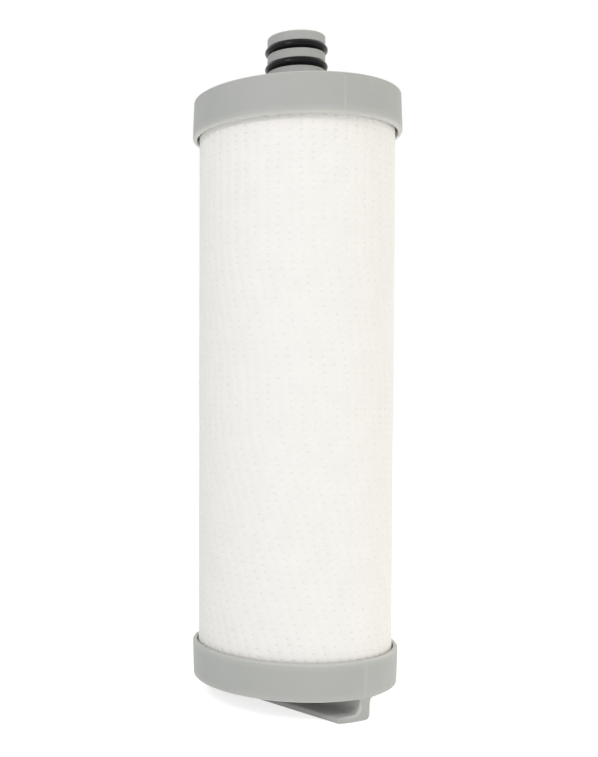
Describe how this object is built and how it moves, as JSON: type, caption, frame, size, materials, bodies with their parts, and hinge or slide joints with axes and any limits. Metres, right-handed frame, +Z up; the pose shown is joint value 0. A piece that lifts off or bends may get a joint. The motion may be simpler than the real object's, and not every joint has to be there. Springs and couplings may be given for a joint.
{
  "type": "sediment filter cartridge",
  "caption": "Upright water filter cartridge: a fabric-wrapped filter tube between moulded end caps, with a ring-sealed outlet spigot on top and a pull grip underneath.",
  "frame": {"origin": "on the cartridge's axis, in the plane of the top cap's flat seat face", "axes": "+Z up along the outlet spigot, X along the pull grip, the grip's bar reaching towards -Y"},
  "size_m": [0.068, 0.068, 0.2179],
  "materials": {
    "cap_plastic": "satin moulded grey",
    "seal_rubber": "semi-gloss black",
    "wrap_fabric": "white nonwoven with rows of pinholes",
    "blown_fibre": "white blown fibre",
    "core_plastic": "plain white"
  },
  "bodies": {
    "root": {"top_end_cap": "cap_plastic", "upper_o_ring": "seal_rubber", "lower_o_ring": "seal_rubber", "outer_wrap": "wrap_fabric", "filter_media": "blown_fibre", "core_tube": "core_plastic", "bottom_end_cap": "cap_plastic"}
  },
  "joints": []
}
